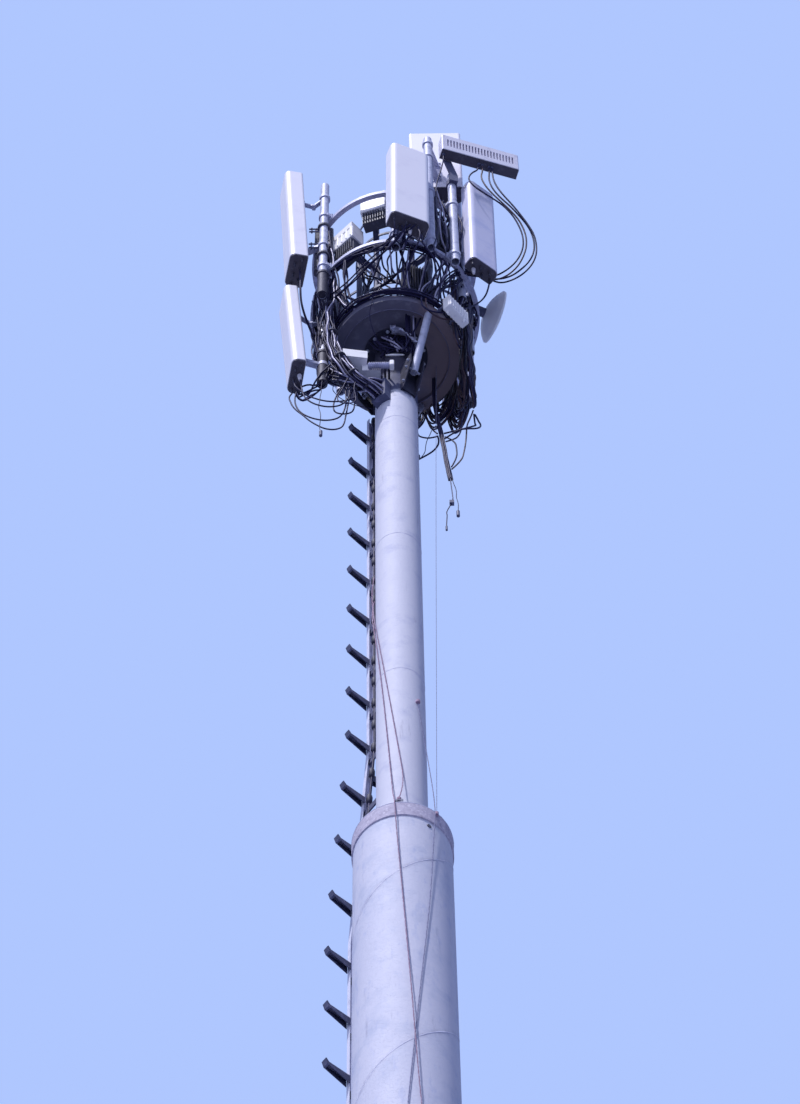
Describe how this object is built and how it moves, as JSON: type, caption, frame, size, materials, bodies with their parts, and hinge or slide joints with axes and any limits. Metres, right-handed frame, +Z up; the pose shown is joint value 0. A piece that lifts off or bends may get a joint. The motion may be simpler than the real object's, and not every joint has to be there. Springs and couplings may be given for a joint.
{
  "type": "monopole cell tower",
  "caption": "Stepped tubular mast with climbing pegs and a caged head of antenna panels, radios, a dish and tangled feeder cables.",
  "frame": {"origin": "centre of the underside of the base flange, on the ground", "axes": "+Z up the mast, -Y towards the side that the picture shows, +X to the right of that view"},
  "size_m": [2.0984, 1.8763, 33.79],
  "materials": {
    "galvanised": "spiral-welded, galvanised, weathered",
    "collar_steel": "rough mottled coating",
    "dark_steel": "weathered dark coating",
    "bright_steel": "galvanised tube",
    "radome": "moulded, weathered",
    "radome_shaded": "moulded, weathered",
    "end_cap": "moulded",
    "unit_alloy": "cast, painted",
    "dish": "moulded",
    "radio_alloy": "cast, dark",
    "cream": "moulded, weathered",
    "rope": "faded rope",
    "cable": "glossy jacket"
  },
  "bodies": {
    "root": {"base_flange": "galvanised", "base_gussets": "galvanised", "mast_bottom_length": "galvanised", "splice_flange_lower": "galvanised", "splice_flange_upper": "galvanised", "mast_middle_length": "galvanised", "mast_collar": "collar_steel", "collar_cap_plate": "galvanised", "collar_lugs": "dark_steel", "upper_mast": "galvanised", "climbing_rail_lower": "bright_steel", "climbing_rail_bend": "bright_steel", "climbing_rail_upper": "bright_steel", "climbing_pegs_lower": "dark_steel", "climbing_pegs_upper": "dark_steel", "rail_standoffs_lower": "dark_steel", "rail_standoffs_upper": "dark_steel", "head_tray": "dark_steel", "head_saddle": "dark_steel", "brace_brackets": "dark_steel", "knee_braces": "bright_steel", "core_posts": "dark_steel", "core_rings": "dark_steel", "hoop_lower": "bright_steel", "hoop_upper": "bright_steel", "hoop_spokes": "dark_steel", "antenna_pipes": "bright_steel", "pipe_clamps": "bright_steel", "panel_left_upper": "radome", "panel_left_lower": "radome", "panel_front": "radome", "panel_rear": "radome", "panel_right_upper": "radome_shaded", "panel_right_lower": "radome_shaded", "panel_end_caps": "end_cap", "tilt_brackets": "bright_steel", "active_antenna_unit": "unit_alloy", "active_unit_arm": "dark_steel", "dish_radome": "dish", "dish_mount": "dark_steel", "remote_radios": "radio_alloy", "radio_covers": "cream", "radio_brackets": "dark_steel", "junction_boxes": "cream", "junction_brackets": "dark_steel", "cable_fittings": "dark_steel", "rope_knots": "rope", "harness_left": "cable", "harness_right": "cable", "harness_rings": "cable", "cable_tail": "cable", "cords_right_loops": "cable", "cords_left_loops": "cable", "cords_lower_right": "cable", "cords_thin_wires": "cable", "cords_front": "cable", "cords_inner": "cable", "mast_ropes": "rope"}
  },
  "joints": []
}
